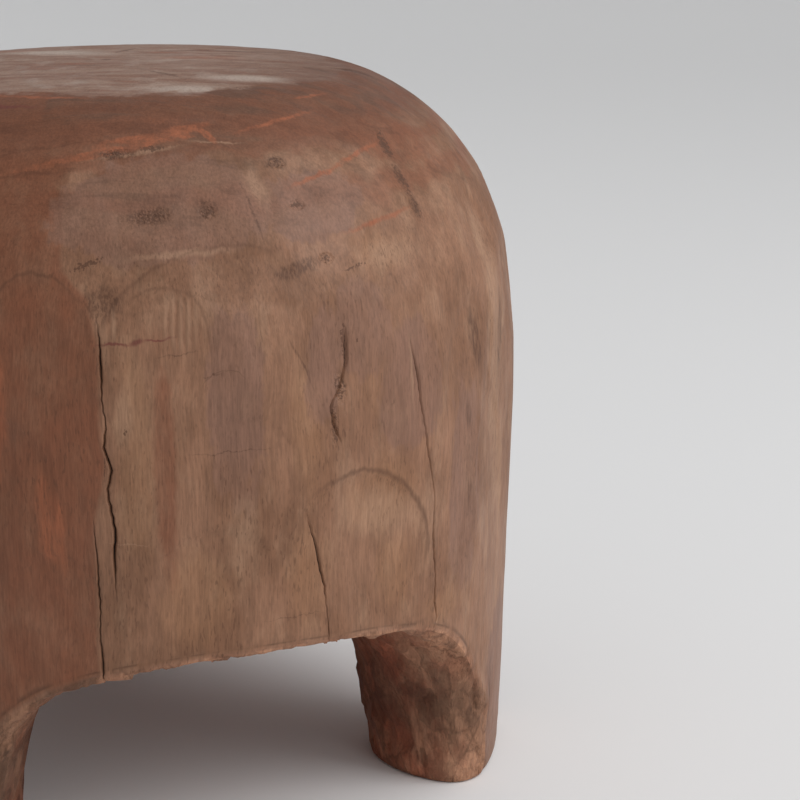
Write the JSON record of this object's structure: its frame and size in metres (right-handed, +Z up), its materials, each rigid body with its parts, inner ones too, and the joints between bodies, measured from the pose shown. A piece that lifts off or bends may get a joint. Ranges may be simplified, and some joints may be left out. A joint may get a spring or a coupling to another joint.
{
  "type": "carved wooden stool",
  "caption": "Round domed stool carved from one upright log, hollowed below into three flared legs with arches between them.",
  "frame": {"origin": "on the floor under the middle of the seat", "axes": "+Z up through the seat, -Y towards the arch that shows in front, +X towards the right leg"},
  "size_m": [0.453, 0.453, 0.42],
  "materials": {
    "wood": "worn, oiled by use, with open drying cracks"
  },
  "bodies": {
    "root": {"carved_block": "wood"}
  },
  "joints": []
}
